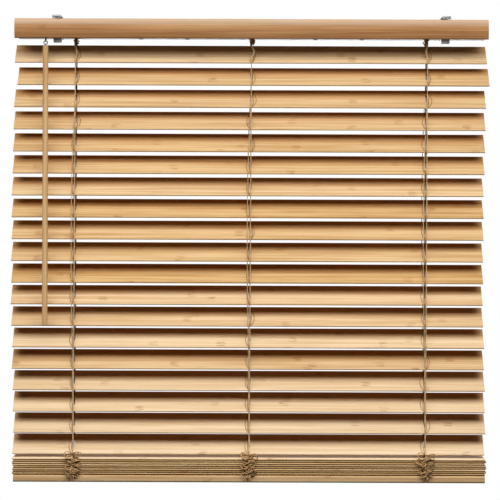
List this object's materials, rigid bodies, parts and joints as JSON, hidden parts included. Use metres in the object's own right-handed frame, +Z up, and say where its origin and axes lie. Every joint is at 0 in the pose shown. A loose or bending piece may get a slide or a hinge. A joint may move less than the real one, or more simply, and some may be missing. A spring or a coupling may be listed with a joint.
{
  "type": "bamboo venetian blind",
  "caption": "Ceiling-fixed venetian blind with bamboo slats on string ladders, a bamboo valance, a wand tilter, a cordless spring lift and slack slats stacked on a bottom rail.",
  "frame": {"origin": "middle of the bracket screw holes, on the plane that the brackets are fixed to", "axes": "+X to the viewer's right along the slats, -Y to the viewer, +Z up"},
  "size_m": [1.016, 0.0783, 0.9881],
  "materials": {
    "bamboo_slat": "satin lacquer",
    "bamboo_rail": "satin lacquer",
    "bamboo_valance": "satin lacquer",
    "bamboo_wand": "satin lacquer",
    "painted_steel": "satin enamel",
    "spring_steel": "zinc plated",
    "bright_wire": "bright plated",
    "rod_steel": "bright drawn",
    "moulded_plastic": "matt",
    "ladder_string": "braided"
  },
  "bodies": {
    "headrail": {"headrail": "painted_steel", "headrail_end_cap_left": "moulded_plastic", "headrail_end_cap_right": "moulded_plastic", "bracket_left": "spring_steel", "bracket_right": "spring_steel", "valance": "bamboo_valance", "valance_clips": "spring_steel", "tilter_case_left": "moulded_plastic", "tilter_case_right": "moulded_plastic", "spring_motor_left": "moulded_plastic", "spring_motor_right": "moulded_plastic", "drum_cradle_left": "moulded_plastic", "drum_cradle_centre": "moulded_plastic", "drum_cradle_right": "moulded_plastic", "ladder_tops": "ladder_string", "lift_cords": "ladder_string"},
    "tilt_shaft": {"tilt_rod": "rod_steel", "tilter_gear": "moulded_plastic", "ladder_drum_left": "moulded_plastic", "ladder_drum_centre": "moulded_plastic", "ladder_drum_right": "moulded_plastic"},
    "tilter_worm": {"tilter_worm": "bright_wire"},
    "wand_link": {"wand_link": "bright_wire"},
    "wand": {"wand_eye": "bright_wire", "wand_stick": "bamboo_wand"},
    "front_strings": {"ladder_front_strings": "ladder_string"},
    "back_strings": {"ladder_back_strings": "ladder_string"},
    "bottom_rail": {"bottom_rail": "bamboo_rail", "bottom_rail_plugs": "moulded_plastic", "ladder_bunches": "ladder_string"},
    "slat_01": {"slat_01": "bamboo_slat"},
    "slat_02": {"slat_02": "bamboo_slat"},
    "slat_03": {"slat_03": "bamboo_slat"},
    "slat_04": {"slat_04": "bamboo_slat"},
    "slat_05": {"slat_05": "bamboo_slat"},
    "slat_06": {"slat_06": "bamboo_slat"},
    "slat_07": {"slat_07": "bamboo_slat"},
    "slat_08": {"slat_08": "bamboo_slat"},
    "slat_09": {"slat_09": "bamboo_slat"},
    "slat_10": {"slat_10": "bamboo_slat"},
    "slat_11": {"slat_11": "bamboo_slat"},
    "slat_12": {"slat_12": "bamboo_slat"},
    "slat_13": {"slat_13": "bamboo_slat"},
    "slat_14": {"slat_14": "bamboo_slat"},
    "slat_15": {"slat_15": "bamboo_slat"},
    "slat_16": {"slat_16": "bamboo_slat"},
    "slat_17": {"slat_17": "bamboo_slat"},
    "slat_18": {"slat_18": "bamboo_slat"},
    "slat_19": {"slat_19": "bamboo_slat"},
    "slat_20": {"slat_20": "bamboo_slat"},
    "slat_21": {"slat_21": "bamboo_slat"},
    "slat_22": {"slat_22": "bamboo_slat"},
    "slat_23": {"slat_23": "bamboo_slat"},
    "slat_24": {"slat_24": "bamboo_slat"},
    "slat_25": {"slat_25": "bamboo_slat"},
    "slat_26": {"slat_26": "bamboo_slat"},
    "slat_27": {"slat_27": "bamboo_slat"}
  },
  "joints": [
    {"name": "slat_tilt", "type": "hinge", "parent": "headrail", "child": "slat_01", "pos_m": [0, 0, -0.0782], "axis": [1, 0, 0], "range_deg": [-120, 20], "deforming": ["ladder_tops"]},
    {"name": "slat_02_tilt", "type": "hinge", "parent": "headrail", "child": "slat_02", "pos_m": [0, 0, -0.12557], "axis": [1, 0, 0], "range_deg": [-120, 20]},
    {"name": "slat_03_tilt", "type": "hinge", "parent": "headrail", "child": "slat_03", "pos_m": [0, 0, -0.17281], "axis": [1, 0, 0], "range_deg": [-120, 20]},
    {"name": "slat_04_tilt", "type": "hinge", "parent": "headrail", "child": "slat_04", "pos_m": [0, 0, -0.21991], "axis": [1, 0, 0], "range_deg": [-120, 20]},
    {"name": "slat_05_tilt", "type": "hinge", "parent": "headrail", "child": "slat_05", "pos_m": [0, 0, -0.26687], "axis": [1, 0, 0], "range_deg": [-120, 20]},
    {"name": "slat_06_tilt", "type": "hinge", "parent": "headrail", "child": "slat_06", "pos_m": [0, 0, -0.31369], "axis": [1, 0, 0], "range_deg": [-120, 20]},
    {"name": "slat_07_tilt", "type": "hinge", "parent": "headrail", "child": "slat_07", "pos_m": [0, 0, -0.36038], "axis": [1, 0, 0], "range_deg": [-120, 20]},
    {"name": "slat_08_tilt", "type": "hinge", "parent": "headrail", "child": "slat_08", "pos_m": [0, 0, -0.40692], "axis": [1, 0, 0], "range_deg": [-120, 20]},
    {"name": "slat_09_tilt", "type": "hinge", "parent": "headrail", "child": "slat_09", "pos_m": [0, 0, -0.45333], "axis": [1, 0, 0], "range_deg": [-120, 20]},
    {"name": "slat_10_tilt", "type": "hinge", "parent": "headrail", "child": "slat_10", "pos_m": [0, 0, -0.4996], "axis": [1, 0, 0], "range_deg": [-120, 20]},
    {"name": "slat_11_tilt", "type": "hinge", "parent": "headrail", "child": "slat_11", "pos_m": [0, 0, -0.54573], "axis": [1, 0, 0], "range_deg": [-120, 20]},
    {"name": "slat_12_tilt", "type": "hinge", "parent": "headrail", "child": "slat_12", "pos_m": [0, 0, -0.59172], "axis": [1, 0, 0], "range_deg": [-120, 20]},
    {"name": "slat_13_tilt", "type": "hinge", "parent": "headrail", "child": "slat_13", "pos_m": [0, 0, -0.63758], "axis": [1, 0, 0], "range_deg": [-120, 20]},
    {"name": "slat_14_tilt", "type": "hinge", "parent": "headrail", "child": "slat_14", "pos_m": [0, 0, -0.68329], "axis": [1, 0, 0], "range_deg": [-120, 20]},
    {"name": "slat_15_tilt", "type": "hinge", "parent": "headrail", "child": "slat_15", "pos_m": [0, 0, -0.72887], "axis": [1, 0, 0], "range_deg": [-120, 20]},
    {"name": "slat_16_tilt", "type": "hinge", "parent": "headrail", "child": "slat_16", "pos_m": [0, 0, -0.77431], "axis": [1, 0, 0], "range_deg": [-120, 20]},
    {"name": "slat_17_tilt", "type": "hinge", "parent": "headrail", "child": "slat_17", "pos_m": [0, 0, -0.81961], "axis": [1, 0, 0], "range_deg": [-120, 20]},
    {"name": "slat_18_tilt", "type": "hinge", "parent": "headrail", "child": "slat_18", "pos_m": [0, 0, -0.86477], "axis": [1, 0, 0], "range_deg": [-120, 20]},
    {"name": "slat_19_tilt", "type": "hinge", "parent": "headrail", "child": "slat_19", "pos_m": [0, 0, -0.9098], "axis": [1, 0, 0], "range_deg": [-120, 20]},
    {"name": "shaft_turn", "type": "hinge", "parent": "headrail", "child": "tilt_shaft", "pos_m": [0, 0, -0.0257], "axis": [1, 0, 0], "range_deg": [-154.29, 25.72]},
    {"name": "worm_turn", "type": "hinge", "parent": "headrail", "child": "tilter_worm", "pos_m": [-0.4352, -0.033, -0.054], "axis": [0, 0.5, 0.866], "range_deg": [-2160, 360]},
    {"name": "link_turn", "type": "hinge", "parent": "headrail", "child": "wand_link", "pos_m": [-0.4352, -0.033, -0.054], "axis": [0, 0, 1], "range_deg": [-2160, 360]},
    {"name": "wand_swing", "type": "hinge", "parent": "wand_link", "child": "wand", "pos_m": [-0.4352, -0.033, -0.0624], "axis": [-1, 0, 0], "range_deg": [0, 60]},
    {"name": "front_strings_hang", "type": "hinge", "parent": "slat_01", "child": "front_strings", "pos_m": [0, -0.01383, -0.09689], "axis": [1, 0, 0], "range_deg": [-20, 120]},
    {"name": "back_strings_hang", "type": "hinge", "parent": "slat_01", "child": "back_strings", "pos_m": [0, 0.01383, -0.05951], "axis": [1, 0, 0], "range_deg": [-20, 120]},
    {"name": "rail_lower", "type": "slide", "parent": "headrail", "child": "bottom_rail", "axis": [0, 0, -1], "range_m": [0, 0.34535], "deforming": ["lift_cords"]},
    {"name": "slat_20_lower", "type": "slide", "parent": "headrail", "child": "slat_20", "axis": [0, 0, -1], "range_m": [0, 0.01827]},
    {"name": "slat_21_lower", "type": "slide", "parent": "headrail", "child": "slat_21", "axis": [0, 0, -1], "range_m": [0, 0.05886]},
    {"name": "slat_22_lower", "type": "slide", "parent": "headrail", "child": "slat_22", "axis": [0, 0, -1], "range_m": [0, 0.10065]},
    {"name": "slat_23_lower", "type": "slide", "parent": "headrail", "child": "slat_23", "axis": [0, 0, -1], "range_m": [0, 0.14245]},
    {"name": "slat_24_lower", "type": "slide", "parent": "headrail", "child": "slat_24", "axis": [0, 0, -1], "range_m": [0, 0.18426]},
    {"name": "slat_25_lower", "type": "slide", "parent": "headrail", "child": "slat_25", "axis": [0, 0, -1], "range_m": [0, 0.22605]},
    {"name": "slat_26_lower", "type": "slide", "parent": "headrail", "child": "slat_26", "axis": [0, 0, -1], "range_m": [0, 0.26786]},
    {"name": "slat_27_lower", "type": "slide", "parent": "headrail", "child": "slat_27", "axis": [0, 0, -1], "range_m": [0, 0.30966]}
  ],
  "couplings": [
    {"joint": "slat_02_tilt", "follows": "slat_tilt", "ratio": 1},
    {"joint": "slat_03_tilt", "follows": "slat_tilt", "ratio": 1},
    {"joint": "slat_04_tilt", "follows": "slat_tilt", "ratio": 1},
    {"joint": "slat_05_tilt", "follows": "slat_tilt", "ratio": 1},
    {"joint": "slat_06_tilt", "follows": "slat_tilt", "ratio": 1},
    {"joint": "slat_07_tilt", "follows": "slat_tilt", "ratio": 1},
    {"joint": "slat_08_tilt", "follows": "slat_tilt", "ratio": 1},
    {"joint": "slat_09_tilt", "follows": "slat_tilt", "ratio": 1},
    {"joint": "slat_10_tilt", "follows": "slat_tilt", "ratio": 1},
    {"joint": "slat_11_tilt", "follows": "slat_tilt", "ratio": 1},
    {"joint": "slat_12_tilt", "follows": "slat_tilt", "ratio": 1},
    {"joint": "slat_13_tilt", "follows": "slat_tilt", "ratio": 1},
    {"joint": "slat_14_tilt", "follows": "slat_tilt", "ratio": 1},
    {"joint": "slat_15_tilt", "follows": "slat_tilt", "ratio": 1},
    {"joint": "slat_16_tilt", "follows": "slat_tilt", "ratio": 1},
    {"joint": "slat_17_tilt", "follows": "slat_tilt", "ratio": 1},
    {"joint": "slat_18_tilt", "follows": "slat_tilt", "ratio": 1},
    {"joint": "slat_19_tilt", "follows": "slat_tilt", "ratio": 1},
    {"joint": "shaft_turn", "follows": "slat_tilt", "ratio": 1.2857},
    {"joint": "worm_turn", "follows": "slat_tilt", "ratio": 18},
    {"joint": "link_turn", "follows": "slat_tilt", "ratio": 18},
    {"joint": "front_strings_hang", "follows": "slat_tilt", "ratio": -1},
    {"joint": "back_strings_hang", "follows": "slat_tilt", "ratio": -1},
    {"joint": "slat_20_lower", "follows": "rail_lower", "ratio": 0.052894},
    {"joint": "slat_21_lower", "follows": "rail_lower", "ratio": 0.17041},
    {"joint": "slat_22_lower", "follows": "rail_lower", "ratio": 0.29144},
    {"joint": "slat_23_lower", "follows": "rail_lower", "ratio": 0.41248},
    {"joint": "slat_24_lower", "follows": "rail_lower", "ratio": 0.53352},
    {"joint": "slat_25_lower", "follows": "rail_lower", "ratio": 0.65455},
    {"joint": "slat_26_lower", "follows": "rail_lower", "ratio": 0.77559},
    {"joint": "slat_27_lower", "follows": "rail_lower", "ratio": 0.89663}
  ]
}
